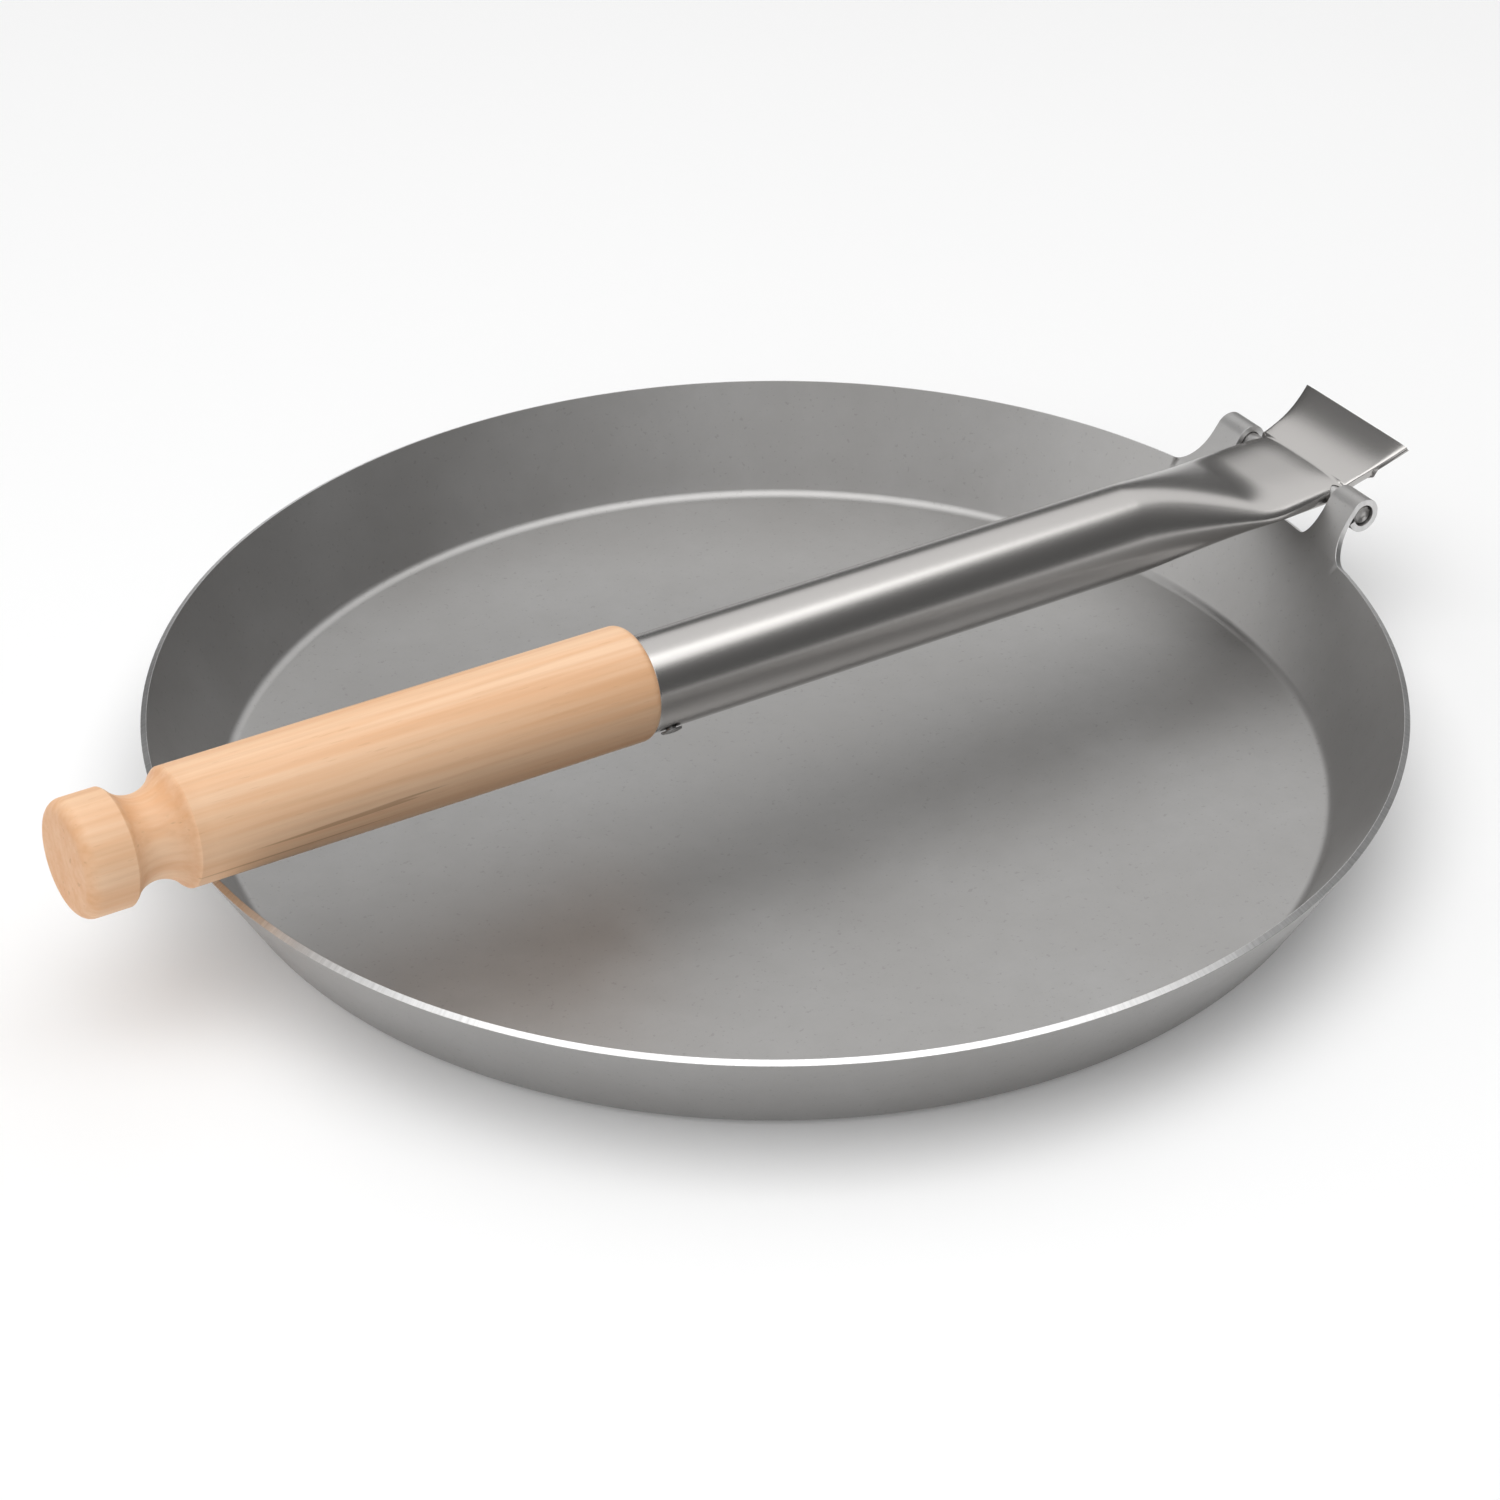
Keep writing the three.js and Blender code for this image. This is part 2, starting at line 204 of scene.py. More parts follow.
def turned(profile, sides):
    """A shell turned about the local x axis. The profile is (x, radius) from axis to axis,
    and a third value lowers the ring's centre."""
    shell = Shell()
    rings = []
    angles = [2 * math.pi * i / sides for i in range(sides)]
    for x, radius, *lower in profile:
        drop = lower[0] if lower else 0.0
        if radius < 1e-9:
            rings.append(shell.point(x, 0, -drop))
            continue
        rings.append(shell.ring(
            (x, radius * math.cos(a), radius * math.sin(a) - drop) for a in angles
        ))
    for a, b in zip(rings, rings[1:]):
        if isinstance(a, int):
            shell.fan(a, b)
        elif isinstance(b, int):
            shell.fan(b, a, flipped=True)
        else:
            shell.bridge(a, b)
    return shell


def make_piece(name, shell, materials, to_row=Matrix.Identity(4)):
    """The shell as an object in the row frame. The attribute "place" keeps the point's
    position in the piece's own frame, in metres, for the materials."""
    mesh = bpy.data.meshes.new(name)
    points = np.array(shell.points, float) * MM
    mesh.from_pydata(points.tolist(), [], shell.faces)
    for material in materials:
        mesh.materials.append(material)
    mesh.polygons.foreach_set("material_index", shell.kinds)
    mesh.polygons.foreach_set("use_smooth", [True] * len(shell.faces))
    place = mesh.attributes.new("place", "FLOAT_VECTOR", "POINT")
    place.data.foreach_set("vector", points.astype(np.float32).ravel())
    mesh.transform(to_row)
    mesh.validate()
    mesh.update()
    piece = bpy.data.objects.new(name, mesh)
    bpy.context.scene.collection.objects.link(piece)
    return piece


def round_edges(piece, width, angle=40, segments=3):
    bevel = piece.modifiers.new("round_edges", "BEVEL")
    bevel.width = width * MM
    bevel.segments = segments
    bevel.limit_method = "ANGLE"
    bevel.angle_limit = math.radians(angle)
    bevel.harden_normals = True
    bevel.use_clamp_overlap = True


def stand_for(piece, body, node):
    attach(piece, body)
    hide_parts(node)


def cut(piece, cutter):
    """Takes the cutter's shape out of the piece, and removes the cutter."""
    step = piece.modifiers.new("cut", "BOOLEAN")
    step.operation = "DIFFERENCE"
    step.solver = "EXACT"
    step.object = cutter
    depsgraph = bpy.context.evaluated_depsgraph_get()
    done = bpy.data.meshes.new_from_object(piece.evaluated_get(depsgraph))
    piece.modifiers.clear()
    piece.data = done
    bpy.data.objects.remove(cutter)


# Materials.

class Graph:
    """Adds nodes to one material and links them in short calls."""

    def __init__(self, name):
        self.material = bpy.data.materials.new(name)
        self.material.use_nodes = True
        self.tree = self.material.node_tree
        self.shader = self.tree.nodes["Principled BSDF"]

    def node(self, kind, inputs=None, **settings):
        made = self.tree.nodes.new(kind)
        for key, value in settings.items():
            setattr(made, key, value)
        for key, value in (inputs or {}).items():
            self.plug(value, made.inputs[key])
        return made

    def plug(self, value, socket):
        if isinstance(value, bpy.types.NodeSocket):
            self.tree.links.new(value, socket)
        else:
            socket.default_value = value

    def place(self, stretch=(1, 1, 1)):
        source = self.node("ShaderNodeAttribute", attribute_name="place")
        mapping = self.node(
            "ShaderNodeMapping", {"Vector": source.outputs["Vector"], "Scale": stretch}
        )
        return mapping.outputs["Vector"]

    def noise(self, vector, scale, detail=3.0, roughness=0.55, distortion=0.0):
        made = self.node("ShaderNodeTexNoise", {
            "Vector": vector, "Scale": scale, "Detail": detail,
            "Roughness": roughness, "Distortion": distortion,
        })
        return made.outputs["Fac"]

    def spread(self, value, low, high, to_low, to_high, smooth_step=False):
        made = self.node("ShaderNodeMapRange", {
            "Value": value, "From Min": low, "From Max": high,
            "To Min": to_low, "To Max": to_high,
        })
        made.interpolation_type = "SMOOTHSTEP" if smooth_step else "LINEAR"
        return made.outputs["Result"]

    def math(self, operation, *values):
        made = self.node("ShaderNodeMath", operation=operation)
        for socket, value in zip(made.inputs, values):
            self.plug(value, socket)
        return made.outputs["Value"]

    def mix(self, share, low, high, blend="MIX"):
        made = self.node("ShaderNodeMix", data_type="RGBA", blend_type=blend)
        sockets = {"Factor": share, "A": low, "B": high}
        for key, value in sockets.items():
            found = [s for s in made.inputs if s.name == key and s.enabled]
            self.plug(value, found[0])
        return [s for s in made.outputs if s.enabled][0]

    def bump(self, *layers):
        """layers are (height, distance in mm, strength)."""
        normal = None
        for height, distance, strength in layers:
            inputs = {"Height": height, "Distance": distance * MM, "Strength": strength}
            if normal is not None:
                inputs["Normal"] = normal
            normal = self.node("ShaderNodeBump", inputs).outputs["Normal"]
        self.plug(normal, self.shader.inputs["Normal"])

    def set(self, **values):
        for key, value in values.items():
            self.plug(value, self.shader.inputs[key.replace("_", " ")])
        return self


def grey(value, warmth=0.0):
    return (value * (1 + warmth), value, value * (1 - warmth), 1.0)


def pan_steel():
    """Satin pressed carbon steel: soft mottling, fine dark specks and a dry fine grain."""
    g = Graph("pan_steel")
    place = g.place()
    cloud = g.noise(place, 16, detail=4)
    patch = g.noise(place, 140, detail=4, roughness=0.7)
    grain = g.noise(place, 2600, detail=2)
    speck = g.noise(place, 900, detail=1)
    tone = g.mix(g.spread(cloud, 0.3, 0.7, 0, 1), grey(0.40, 0.02), grey(0.45, 0.01))
    tone = g.mix(g.spread(patch, 0.35, 0.75, 0, 0.3), tone, grey(0.36, 0.02))
    dark = g.spread(speck, 0.66, 0.76, 0, 0.3, smooth_step=True)
    tone = g.mix(dark, tone, grey(0.24, 0.04))
    rough = g.spread(g.math("ADD", cloud, g.math("MULTIPLY", grain, 0.5)), 0.5, 1.0, 0.44, 0.51)
    g.set(Base_Color=tone, Metallic=1.0, Roughness=rough)
    g.bump((patch, 0.04, 0.2), (grain, 0.012, 0.45))
    return g.material


def cut_edge():
    """Sheared and ground sheet edge: brighter, with fine marks across the sheet."""
    g = Graph("ground_edge")
    place = g.place()
    parts = g.node("ShaderNodeSeparateXYZ", {"Vector": place})
    turn = g.math("ARCTAN2", parts.outputs["Y"], parts.outputs["X"])
    marks = g.node("ShaderNodeCombineXYZ", {"X": g.math("MULTIPLY", turn, RIM_RADIUS * MM)})
    fine = g.noise(marks.outputs["Vector"], 900, detail=3, roughness=0.7)
    broad = g.noise(place, 30, detail=2)
    tone = g.mix(g.spread(fine, 0.4, 0.75, 0, 1), grey(0.66, 0.005), grey(0.5, 0.01))
    g.set(Base_Color=tone, Metallic=1.0, Roughness=g.spread(broad, 0.3, 0.7, 0.3, 0.42))
    g.bump((fine, 0.06, 0.5))
    return g.material


def tube_steel():
    """Drawn tube: even and fairly bright, with hairlines along it and a few soft scuffs."""
    g = Graph("tube_steel")
    along = g.place((0.012, 1, 1))
    lines = g.noise(along, 1500, detail=4, roughness=0.6)
    scuff = g.noise(g.place((0.4, 1, 1)), 90, detail=5, roughness=0.65)
    speck = g.noise(g.place((0.5, 1, 1)), 1100, detail=1)
    tone = g.mix(g.spread(lines, 0.3, 0.75, 0, 1), grey(0.50, 0.025), grey(0.43, 0.035))
    tone = g.mix(g.spread(speck, 0.68, 0.78, 0, 0.35, smooth_step=True), tone, grey(0.3, 0.04))
    rough = g.spread(g.math("ADD", scuff, g.math("MULTIPLY", lines, 0.4)), 0.45, 0.95, 0.21, 0.31)
    g.set(Base_Color=tone, Metallic=1.0, Roughness=rough)
    g.bump((lines, 0.04, 0.5), (scuff, 0.06, 0.16))
    return g.material


def rod_steel(name, tone_low, tone_high, rough_low, rough_high):
    """Cut rod with a dull, slightly stained skin."""
    g = Graph(name)
    place = g.place((0.25, 1, 1))
    stain = g.noise(place, 320, detail=4, roughness=0.7)
    fine = g.noise(place, 2400, detail=2)
    tone = g.mix(g.spread(stain, 0.35, 0.7, 0, 1), grey(tone_high, 0.01), grey(tone_low, 0.03))
    rough = g.spread(fine, 0.3, 0.7, rough_low, rough_high)
    g.set(Base_Color=tone, Metallic=1.0, Roughness=rough)
    g.bump((stain, 0.05, 0.25), (fine, 0.02, 0.3))
    return g.material


def grip_wood():
    """Sanded beech: growth rings round an axis outside the grip's own, with fine fibres,
    flecks and a few long cracks."""
    g = Graph("grip_wood")
    wander = g.noise(g.place((0.12, 1, 1)), 60, detail=2)
    place = g.place((0.045, 1, 1))
    parts = g.node("ShaderNodeSeparateXYZ", {"Vector": g.place()})
    ring_y = g.math("ADD", parts.outputs["Y"], 0.011)
    ring_z = g.math("ADD", parts.outputs["Z"], -0.006)
    reach = g.math("SQRT", g.math(
        "ADD", g.math("MULTIPLY", ring_y, ring_y), g.math("MULTIPLY", ring_z, ring_z)
    ))
    bent = g.math("ADD", reach, g.math("MULTIPLY", wander, 0.006))
    slope = g.math("ADD", bent, g.math("MULTIPLY", parts.outputs["X"], 0.012))
    rings = g.math("SINE", g.math("MULTIPLY", slope, 2200))
    fibres = g.noise(place, 700, detail=4, roughness=0.62)
    streaks = g.noise(g.place((0.03, 1, 1)), 170, detail=3, roughness=0.6)
    flecks = g.noise(g.place((0.1, 1, 1)), 1400, detail=1)
    cracks = g.noise(g.place((0.02, 1, 1)), 430, detail=1, distortion=0.3)
    light = (0.93, 0.63, 0.41, 1.0)
    deep = (0.83, 0.47, 0.25, 1.0)
    tone = g.mix(g.spread(streaks, 0.32, 0.72, 0, 1, smooth_step=True), light, deep)
    tone = g.mix(g.spread(rings, 0.0, 1.0, 0, 0.16), tone, (0.72, 0.41, 0.22, 1.0))
    tone = g.mix(g.spread(fibres, 0.5, 0.8, 0, 0.3), tone, (0.66, 0.38, 0.20, 1.0))
    tone = g.mix(
        g.spread(flecks, 0.68, 0.76, 0, 0.16, smooth_step=True), tone, (0.50, 0.26, 0.12, 1.0)
    )
    tone = g.mix(
        g.spread(cracks, 0.70, 0.74, 0, 0.5, smooth_step=True), tone, (0.40, 0.20, 0.09, 1.0)
    )
    cut_face = g.node("ShaderNodeAttribute", attribute_name="end_grain").outputs["Fac"]
    tone = g.mix(g.math("MULTIPLY", cut_face, 0.55), tone, (0.64, 0.32, 0.14, 1.0))
    rough = g.spread(fibres, 0.3, 0.7, 0.42, 0.55)
    g.set(Base_Color=tone, Roughness=rough, Specular_IOR_Level=0.45)
    g.bump((fibres, 0.1, 0.25), (rings, 0.05, 0.12), (flecks, 0.06, 0.2))
    return g.material


def plain_floor():
    """White paper, faintly lit from below so that shadows on it stay pale."""
    g = Graph("studio_floor")
    source = g.node("ShaderNodeTexCoord").outputs["Object"]
    tone = g.mix(g.noise(source, 3, detail=2), grey(0.83, 0.0), grey(0.85, 0.0))
    g.set(Base_Color=tone, Roughness=0.9, Specular_IOR_Level=0.1)
    g.set(Emission_Color=grey(1.0), Emission_Strength=0.12)
    return g.material


# Pan.

def wall_slope():
    """Slope of the wall: the line from the end of the floor bend to the rim."""
    across = RIM_RADIUS - FLOOR_RADIUS
    up = RIM_HEIGHT - SHEET - BEND_RADIUS
    return math.atan2(up, across) + math.asin(BEND_RADIUS / math.hypot(across, up))


SLOPE = wall_slope()


def bowl_profiles():
    """(radius, height) up the outside from the centre, and up the inside."""
    bend_z = SHEET + BEND_RADIUS
    turn = (-math.pi / 2, SLOPE - math.pi / 2, 14)
    outer_bend = arc(FLOOR_RADIUS, bend_z, BEND_RADIUS + SHEET, *turn)
    inner_bend = arc(FLOOR_RADIUS, bend_z, BEND_RADIUS, *turn)
    outer_rim = (RIM_RADIUS + SHEET * math.sin(SLOPE), RIM_HEIGHT - SHEET * math.cos(SLOPE))
    inner_rim = (RIM_RADIUS, RIM_HEIGHT)
    sides = []
    for bend, rim, height in (
        (outer_bend, outer_rim, 0.0), (inner_bend, inner_rim, SHEET),
    ):
        floor = [(r, height) for r in even(0, FLOOR_RADIUS, 12)[1:-1]]
        start = bend[-1]
        wall = [(lerp(start[0], rim[0], s), lerp(start[1], rim[1], s)) for s in even(0, 1, 8)]
        sides.append(floor + bend + wall[1:])
    return sides


def ear_width(height):
    """Inner and outer edge of an ear, at a share of the fillet's height."""
    flare = 1 - math.sqrt(max(0.0, 1 - (1 - min(height, 1)) ** 2))
    return EAR_INNER_Y - EAR_INNER_FILLET * flare, EAR_OUTER_Y + EAR_FILLET * flare


def ear_line(y, part, along):
    """Middle of the ear's sheet at a distance y from the centre: x, z and the heading."""
    half = SHEET / 2
    rim_x = math.sqrt(RIM_RADIUS ** 2 - y ** 2) + half * math.sin(SLOPE)
    rim_z = RIM_HEIGHT - half * math.cos(SLOPE)
    reach = math.hypot(PIN_X - rim_x, PIN_Z - rim_z)
    heading = math.atan2(PIN_Z - rim_z, PIN_X - rim_x) + math.asin(CURL_RADIUS / reach)
    start = heading + math.pi / 2
    if part == "rise":
        end_x = PIN_X + CURL_RADIUS * math.cos(start)
        end_z = PIN_Z + CURL_RADIUS * math.sin(start)
        bend = lerp(SLOPE, heading, smooth(along * 2))
        return lerp(rim_x, end_x, along), lerp(rim_z, end_z, along), bend
    angle = lerp(start, CURL_END, along)
    x = PIN_X + CURL_RADIUS * math.cos(angle)
    z = PIN_Z + CURL_RADIUS * math.sin(angle)
    return x, z, angle - math.pi / 2


def ear_rows():
    """(part, share of the part) of each row above the rim."""
    fillet = [1 - math.cos(a) for a in even(0, math.pi / 2, FILLET_ROWS)]
    rise = [s * FILLET_SHARE for s in fillet] + even(FILLET_SHARE, 1, RISE_ROWS)[1:]
    return [("rise", s) for s in rise[1:]] + [("curl", s) for s in even(0, 1, CURL_ROWS)[1:]]


def ear_row(side, part, along):
    """The row's (outer, inner) points; outer carries on from the outside of the pan."""
    low, high = ear_width(along / FILLET_SHARE if part == "rise" else 1)
    row = []
    for share in even(0, 1, EAR_COLUMNS):
        y = lerp(low, high, share)
        x, z, heading = ear_line(y, part, along)
        across = Vector((-math.sin(heading), math.cos(heading))) * SHEET / 2
        row.append((
            Vector((x - across.x, side * y, z - across.y)),
            Vector((x + across.x, side * y, z + across.y)),
        ))
    return row


def rim_turns():
    """Angles of the pan's columns, with the columns of each ear among them, counting
    round from the hinge side. Returns the angles and each ear's first index."""
    low, high = ear_width(0)
    ear = [math.asin(y / RIM_RADIUS) for y in even(low, high, EAR_COLUMNS)]
    between = even(-ear[0], ear[0], 10)
    around = even(ear[-1], 2 * math.pi - ear[-1], 280)
    turns = between[:-1] + ear + around[1:-1] + [2 * math.pi - a for a in reversed(ear)][:-1]
    ear_a = len(between) - 1
    ear_b = ear_a + len(ear) + len(around) - 2
    return turns, {1: ear_a, -1: ear_b}


def pan_shell():
    shell = Shell()
    turns, ear_start = rim_turns()
    rings = []
    for profile, bottom in zip(bowl_profiles(), (0.0, SHEET)):
        stack = [shell.point(0, 0, bottom)]
        for radius, height in profile:
            stack.append(shell.ring(
                (radius * math.cos(a), radius * math.sin(a), height) for a in turns
            ))
        rings.append(stack)
    outer, inner = rings
    shell.fan(outer[0], outer[1], flipped=True)
    shell.fan(inner[0], inner[1])
    for low, high in zip(outer[1:], outer[2:]):
        shell.bridge(low, high)
    for low, high in zip(inner[1:], inner[2:]):
        shell.bridge(high, low)
    outer_rim, inner_rim = outer[-1], inner[-1]
    ear_columns = set()
    for start in ear_start.values():
        ear_columns.update(range(start, start + EAR_COLUMNS))
    count = len(turns)
    for i in range(count):
        j = (i + 1) % count
        if i not in ear_columns:
            shell.face((outer_rim[i], outer_rim[j], inner_rim[j], inner_rim[i]), 1)
    for side, start in ear_start.items():
        columns = [(start + i) % count for i in range(EAR_COLUMNS + 1)]
        if side < 0:
            columns.reverse()
        add_ear(shell, side, [outer_rim[c] for c in columns], [inner_rim[c] for c in columns])
    return shell


def add_ear(shell, side, outer_root, inner_root):
    """Carries the rim's points on into an ear, row by row."""
    first = ear_row(side, "rise", 0)
    outer_gap = [Vector(shell.points[p]) - q[0] for p, q in zip(outer_root, first)]
    inner_gap = [Vector(shell.points[p]) - q[1] for p, q in zip(inner_root, first)]
    flip = side < 0

    def quad(a, b, c, d, kind):
        shell.face((d, c, b, a) if flip else (a, b, c, d), kind)

    below = (outer_root, inner_root)
    for part, along in ear_rows():
        keep = 1 - smooth(along / FILLET_SHARE) if part == "rise" else 0
        row = ear_row(side, part, along)
        outer = [shell.point(*(q[0] + g * keep)) for q, g in zip(row, outer_gap)]
        inner = [shell.point(*(q[1] + g * keep)) for q, g in zip(row, inner_gap)]
        for i in range(EAR_COLUMNS):
            quad(below[0][i], below[0][i + 1], outer[i + 1], outer[i], 0)
            quad(inner[i], inner[i + 1], below[1][i + 1], below[1][i], 0)
        last = EAR_COLUMNS
        quad(below[1][0], below[0][0], outer[0], inner[0], 1)
        quad(below[0][last], below[1][last], inner[last], outer[last], 1)
        below = (outer, inner)
    for i in range(EAR_COLUMNS):
        quad(below[0][i], below[0][i + 1], below[1][i + 1], below[1][i], 1)


def build_pan():
    pan = make_piece("pan_sheet", pan_shell(), [pan_steel(), cut_edge()])
    round_edges(pan, EDGE_ROUND)
    stand_for(pan, "pan", "pan_body")


# Hinge pin.

def build_pin():
    """Cut rod with chamfered ends."""
    half = PIN_HALF_LENGTH
    chamfer = 0.45
    end = [
        (half, 0), (half, PIN_RADIUS - chamfer - 0.1),
        (half - 0.05, PIN_RADIUS - chamfer + 0.02), (half - chamfer, PIN_RADIUS - 0.03),
        (half - chamfer - 0.15, PIN_RADIUS),
    ]
    profile = [(-x, r) for x, r in end] + list(reversed(end))
    turn = Matrix.Translation(PIN) @ Matrix.Rotation(math.pi / 2, 4, "Z")
    material = rod_steel("pin_steel", 0.40, 0.56, 0.4, 0.52)
    pin = make_piece("pin_rod", turned(profile, 64), [material], turn)
    stand_for(pin, "pan", "hinge_pin")


# Tube.

class Section:
    """A ring of the tube: its highest, folded side and lowest point as (along, up) from the
    pin, its half width, how square its two halves are, and a groove along its sides."""

    def __init__(self, top, fold, bottom, half_width, upper=2.0, lower=2.0, groove=0.0):
        self.top = Vector(top)
        self.fold = Vector(fold)
        self.bottom = Vector(bottom)
        self.half_width = half_width
        self.upper = upper
        self.lower = lower
        self.groove = groove

    def blend(self, other, share):
        return Section(
            self.top.lerp(other.top, share),
            self.fold.lerp(other.fold, share),
            self.bottom.lerp(other.bottom, share),
            lerp(self.half_width, other.half_width, share),
            lerp(self.upper, other.upper, share),
            lerp(self.lower, other.lower, share),
        )

    def points(self, inset=0.0):
        """The ring, set in from the skin by inset."""
        found = []
        for i in range(TUBE_SIDES):
            angle = 2 * math.pi * i / TUBE_SIDES
            c, s = math.cos(angle), math.sin(angle)
            raised = s >= 0
            power = 2 / (self.upper if raised else self.lower)
            rise = abs(s) ** power
            width = self.half_width - inset - self.groove * smooth(1 - rise / 0.45)
            reach = (self.top if raised else self.bottom) - self.fold
            at = self.fold + reach.normalized() * (reach.length - inset) * rise
            found.append((at.x, -width * math.copysign(abs(c) ** power, c), at.y))
        return found


PINCH = Section((-21.5, 3.2), (-21.5, -0.6), (-21.5, -3.9), 18.6, 2.7)
HUMP = Section((-1, 4), (-1, -0.2), (-1, -4.3), 17.7, 3.8)
BEND = Section((2.1, 3.7), (2.3, 0.5), (3.6, -4.1), 17.8, 3.6)


def round_section(along):
    share = (along - TUBE_MOUTH) / (FLARE_START - TUBE_MOUTH)
    axis = -lerp(MOUTH_DROP, FLARE_DROP, share)
    ends = (axis + TUBE_RADIUS, axis, axis - TUBE_RADIUS)
    return Section(*((along, up) for up in ends), TUBE_RADIUS)


def flare_section(share):
    """From the round tube at share 0 to the pinch at share 1."""
    section = round_section(FLARE_START).blend(PINCH, share ** FLARE_EASE)
    along = lerp(FLARE_START, PINCH.top.x, share)
    for point in (section.top, section.fold, section.bottom):
        point.x = along
    return section


def tongue_section(share):
    """Up the tongue from the bend. The lower wall ends in a lip, past which the two walls
    lie against each other."""
    top = quadratic(BEND.top, TONGUE_PULL, TONGUE_TIP, share)
    uphill = (TONGUE_PULL - BEND.top).lerp(TONGUE_TIP - TONGUE_PULL, share).normalized()
    below = Vector((uphill.y, -uphill.x))
    lip = min(share / LIP_SHARE, 1)
    closed = smooth((share - LIP_SHARE) / LIP_STEP)
    heel = BEND.bottom.lerp(LIP_END, lip)
    return Section(
        top,
        top + below * TUBE_WALL,
        heel.lerp(top + below * 2 * TUBE_WALL, closed),
        lerp(BEND.half_width, TONGUE_TIP_HALF_WIDTH, share ** 2),
        lerp(BEND.upper, TONGUE_SQUARENESS, smooth(share / 0.3)),
        lerp(BEND.lower, TONGUE_SQUARENESS, closed),
        TONGUE_GROOVE * smooth((share - 0.15) / 0.3) * lerp(1, 0.4, smooth(share * 1.4 - 0.3)),
    )


def eased(start, corner, end, count):
    """Sections of a soft bend from start to end round a corner; start is left out."""
    return [
        start.blend(corner, s).blend(corner.blend(end, s), s) for s in even(0, 1, count)[1:]
    ]


def tube_sections():
    before = flare_section(PINCH_FROM)
    after = PINCH.blend(HUMP, PINCH_TO)
    crest = PINCH.blend(HUMP, CREST_FROM)
    sections = [round_section(TUBE_MOUTH + step) for step in (0.4, 0.8, 1.6)]
    sections += [round_section(x) for x in even(TUBE_MOUTH + 4, FLARE_START, 12)[:-1]]
    sections += [flare_section(s) for s in even(0, PINCH_FROM, 54)]
    sections += eased(before, PINCH, after, 14)
    sections += [after.blend(crest, s) for s in even(0, 1, 8)[1:]]
    sections += eased(crest, HUMP, BEND, 8)
    sections += [tongue_section(s) for s in even(0, 1, 50)[1:]]
    return sections


def tube_shell():
    shell = Shell()
    mouth = round_section(TUBE_MOUTH)
    deep = round_section(TUBE_MOUTH + SPIGOT_LENGTH + 6)
    rings = [deep.points(TUBE_WALL), mouth.points(TUBE_WALL), mouth.points(MOUTH_EDGE)]
    rings += [section.points() for section in tube_sections()]
    rings = [shell.ring(ring) for ring in rings]
    for a, b in zip(rings, rings[1:]):
        shell.bridge(a, b)
    shell.fan(shell.point(deep.fold.x, 0, deep.fold.y), rings[0])
    tip = tongue_section(1).fold
    shell.fan(shell.point(tip.x, 0, tip.y), rings[-1], flipped=True)
    return shell


def pin_cutter():
    profile = [
        (-30, 0), (-30, PIN_RADIUS + PIN_HOLE_CLEARANCE), (30, PIN_RADIUS + PIN_HOLE_CLEARANCE), (30, 0),
    ]
    turn = Matrix.Translation(PIN) @ Matrix.Rotation(math.pi / 2, 4, "Z")
    return make_piece("pin_cutter", turned(profile, 48), [], turn)


def build_tube():
    tube = make_piece("tube_skin", tube_shell(), [tube_steel()], HANDLE_FRAME)
    cut(tube, pin_cutter())
    round_edges(tube, 0.2, angle=60, segments=2)
    stand_for(tube, "handle", "handle_tube")


# Grip.

def grip_profile():
    """(distance back, radius) from the spigot's inner end to the butt; the spigot's centre
    is lowered."""
    front = CLEARANCE
    body_end = front + GRIP_BODY
    knob_start = body_end + NECK_LENGTH
    knob_end = knob_start + KNOB_LENGTH
    half = NECK_LENGTH / 2
    depth = GRIP_RADIUS - NECK_RADIUS
    cove = (half ** 2 + depth ** 2) / (2 * depth)
    spread = math.asin(half / cove)
    neck = []
    for share in even(0, 1, 24):
        angle = lerp(-spread, spread, share)
        radius = NECK_RADIUS + cove * (1 - math.cos(angle))
        radius -= lerp(0, GRIP_RADIUS - KNOB_RADIUS, share)
        neck.append((body_end + half + cove * math.sin(angle), radius))
    corner = 0.35
    drop = MOUTH_DROP - GRIP_DROP
    points = [(-SPIGOT_LENGTH, 0, drop), (-SPIGOT_LENGTH, SPIGOT_RADIUS - SPIGOT_CHAMFER, drop)]
    points += [(-SPIGOT_LENGTH + SPIGOT_CHAMFER, SPIGOT_RADIUS, drop), (front, SPIGOT_RADIUS, drop)]
    points += [
        (front + GRIP_EDGE - GRIP_EDGE * math.cos(a), GRIP_RADIUS - GRIP_EDGE * (1 - math.sin(a)))
        for a in even(0, math.pi / 2, 10)
    ]
    points += [(x, GRIP_RADIUS) for x in even(front + GRIP_EDGE + 2, body_end - corner, 30)]
    points += neck[1:-1]
    points += [(knob_start + corner, KNOB_RADIUS)]
    points += [
        (knob_end - KNOB_EDGE * (1 - math.sin(a)), KNOB_RADIUS - KNOB_EDGE * (1 - math.cos(a)))
        for a in even(0, math.pi / 2, 12)
    ]
    flat = KNOB_RADIUS - KNOB_EDGE
    points += [(knob_end, flat * s) for s in (0.75, 0.5, 0.25)]
    points.append((knob_end, 0))
    return points


def mark_end_grain(mesh, to_row):
    """Stores how far each point's face is turned across the fibres."""
    axis = (to_row.to_3x3() @ Vector((1, 0, 0))).normalized()
    found = [abs(v.normal.dot(axis)) ** 1.5 for v in mesh.vertices]
    layer = mesh.attributes.new("end_grain", "FLOAT", "POINT")
    layer.data.foreach_set("value", found)


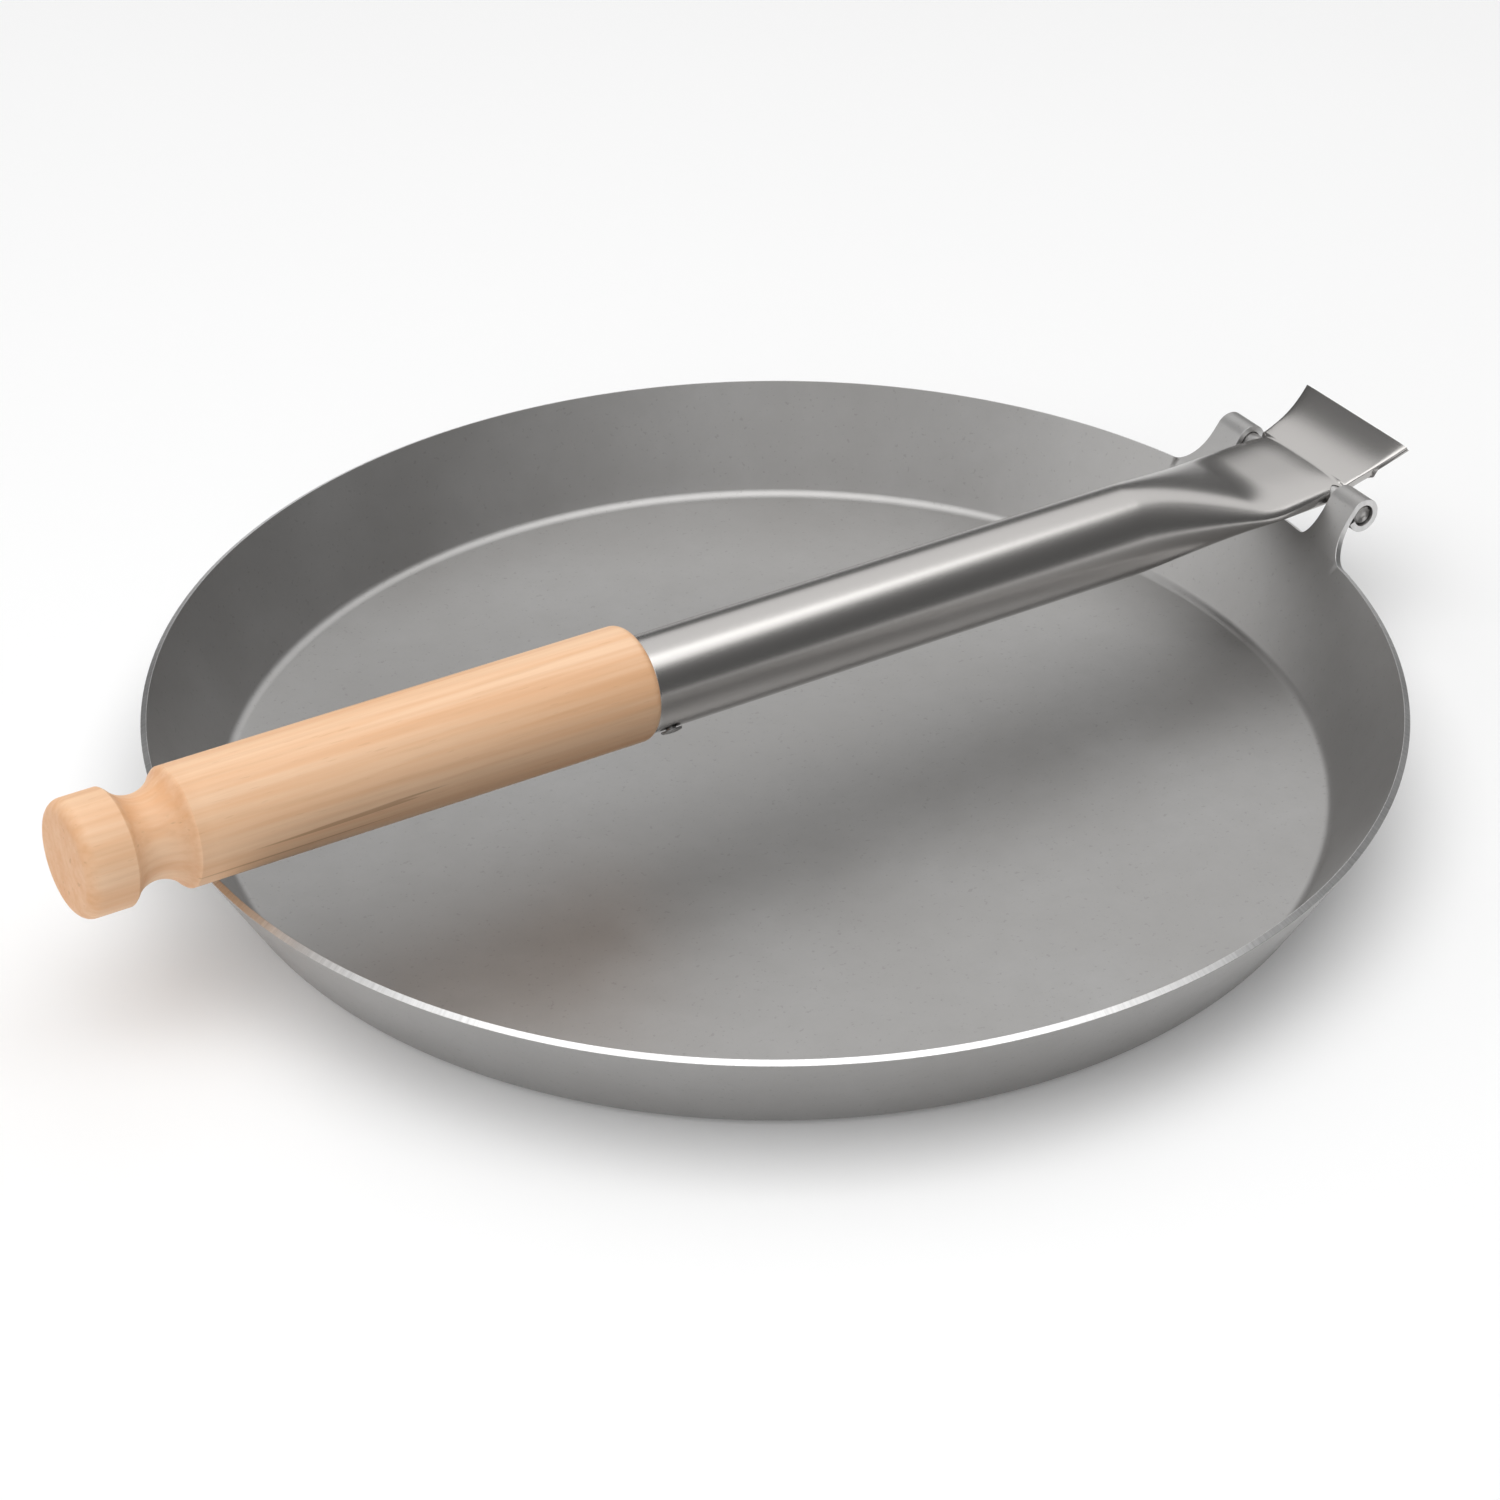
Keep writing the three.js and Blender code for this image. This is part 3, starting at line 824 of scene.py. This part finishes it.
def build_grip():
    to_row = HANDLE_FRAME @ Matrix.Translation(Vector((TUBE_MOUTH, 0, -GRIP_DROP)) * MM)
    profile = [(-x, *rest) for x, *rest in grip_profile()]
    shell = turned(profile, GRIP_SIDES)
    shell.faces = [tuple(reversed(f)) for f in shell.faces]
    grip = make_piece("grip_turned", shell, [grip_wood()], to_row)
    mark_end_grain(grip.data, to_row)
    round_edges(grip, 0.3, angle=34, segments=3)
    stand_for(grip, "handle", "wood_grip")


# Fixing screw.

def build_screw():
    """A low domed head outside the tube, and a plain pointed shank."""
    seat = TUBE_RADIUS + CLEARANCE
    edge = seat + SCREW_HEAD_EDGE
    root = TUBE_RADIUS - SCREW_LENGTH
    dome = [
        (edge + (seat + SCREW_HEAD_HEIGHT - edge) * math.sin(a), SCREW_HEAD_RADIUS * math.cos(a))
        for a in even(0, math.pi / 2, 12)[:-1]
    ]
    profile = [
        (root, 0), (root, SCREW_POINT_RADIUS), (root + SCREW_POINT_LENGTH, SCREW_SHANK_RADIUS),
        (seat, SCREW_SHANK_RADIUS), (seat, SCREW_HEAD_RADIUS),
        *dome, (seat + SCREW_HEAD_HEIGHT, 0),
    ]
    place = Vector((TUBE_MOUTH + SCREW_FROM_MOUTH, 0, -MOUTH_DROP)) * MM
    to_row = (
        HANDLE_FRAME @ Matrix.Translation(place) @ Matrix.Rotation(-SCREW_ANGLE, 4, "X")
        @ Matrix.Rotation(math.pi / 2, 4, "Y")
    )
    material = rod_steel("screw_steel", 0.3, 0.42, 0.3, 0.42)
    screw = make_piece("screw_domed", turned(profile, 48), [material], to_row)
    round_edges(screw, 0.08, angle=35, segments=2)
    stand_for(screw, "handle", "grip_screw")


# Studio.

# The view's distance and aim are shares of the rim's radius.
VIEW_AZIMUTH = math.radians(32.5)
VIEW_ELEVATION = math.radians(33.33)
VIEW_ROLL = math.radians(-0.35)
VIEW_DISTANCE = 6.551
AIM_LEFT = 0.0402
AIM_NEAR = 0.2099
VIEW_LENS = 100.8
RIM = RIM_RADIUS * MM
RIGHT = Vector((math.cos(VIEW_AZIMUTH), -math.sin(VIEW_AZIMUTH), 0))
AWAY = Vector((math.sin(VIEW_AZIMUTH), math.cos(VIEW_AZIMUTH), 0))
UP = Vector((0, 0, 1))
FLOOR_REACH = 6000.0
ROOM_LIGHT = 0.14
ROOM_SEEN = 0.6


def build_camera():
    """The photograph's view."""
    aim = UP * RIM_HEIGHT * MM - RIGHT * AIM_LEFT * RIM - AWAY * AIM_NEAR * RIM
    back = UP * math.sin(VIEW_ELEVATION) - AWAY * math.cos(VIEW_ELEVATION)
    lift = UP * math.cos(VIEW_ELEVATION) + AWAY * math.sin(VIEW_ELEVATION)
    side = RIGHT * math.cos(VIEW_ROLL) + lift * math.sin(VIEW_ROLL)
    top = lift * math.cos(VIEW_ROLL) - RIGHT * math.sin(VIEW_ROLL)
    data = bpy.data.cameras.new("camera")
    data.lens = VIEW_LENS
    data.sensor_width = 36
    camera = bpy.data.objects.new("camera", data)
    bpy.context.scene.collection.objects.link(camera)
    turn = Matrix((side, top, back)).transposed().to_4x4()
    camera.matrix_world = Matrix.Translation(aim + back * VIEW_DISTANCE * RIM) @ turn
    bpy.context.scene.camera = camera


def softbox(name, right, away, height, width, depth, radiance, aim=Vector((0, 0, 0.02))):
    """A rectangular light that faces aim. Its place and size are in metres, and its
    strength is given by its radiance."""
    data = bpy.data.lights.new(name, "AREA")
    data.shape = "RECTANGLE"
    data.size = width
    data.size_y = depth
    data.energy = radiance * math.pi * width * depth
    light = bpy.data.objects.new(name, data)
    bpy.context.scene.collection.objects.link(light)
    place = RIGHT * right + AWAY * away + UP * height
    facing = (place - aim).normalized()
    level = UP.cross(facing) if abs(facing.z) < 0.98 else RIGHT.copy()
    level = level.normalized()
    upright = facing.cross(level)
    turn = Matrix((level, upright, facing)).transposed().to_4x4()
    light.matrix_world = Matrix.Translation(place) @ turn
    light.visible_camera = False


def build_room():
    """A dim white room for reflections and fill, which looks paler to the camera."""
    world = bpy.data.worlds.new("studio")
    world.use_nodes = True
    tree = world.node_tree
    background = tree.nodes["Background"]
    background.inputs["Color"].default_value = (1, 1, 1, 1)
    rays = tree.nodes.new("ShaderNodeLightPath")
    strength = tree.nodes.new("ShaderNodeMapRange")
    strength.inputs["To Min"].default_value = ROOM_LIGHT
    strength.inputs["To Max"].default_value = ROOM_SEEN
    tree.links.new(rays.outputs["Is Camera Ray"], strength.inputs["Value"])
    tree.links.new(strength.outputs["Result"], background.inputs["Strength"])
    bpy.context.scene.world = world


def build_lights():
    """A box overhead, which faces straight down, and three round the object."""
    softbox("overhead", 0.0, -0.45, 1.7, width=2.4, depth=1.95, radiance=2.1, aim=-0.45 * AWAY)
    softbox("back", 0.45, 1.4, 1.7, width=2.3, depth=1.82, radiance=0.98)
    softbox("left", -2.1, -0.2, 0.75, width=2.8, depth=1.4, radiance=1.3)
    softbox("front", -0.3, -2.2, 0.95, width=1.7, depth=0.8, radiance=0.75)


def build_floor():
    floor = Shell()
    corners = ((-1, -1), (1, -1), (1, 1), (-1, 1))
    floor.face(tuple(floor.point(x * FLOOR_REACH, y * FLOOR_REACH, 0) for x, y in corners))
    plane = make_piece("studio_floor", floor, [plain_floor()])
    plane.location.z = PAN_BASE


build_camera()
build_pan()
build_pin()
build_tube()
build_grip()
build_screw()
build_room()
build_lights()
build_floor()
bpy.context.scene.view_settings.view_transform = "Standard"

bpy.context.view_layer.update()
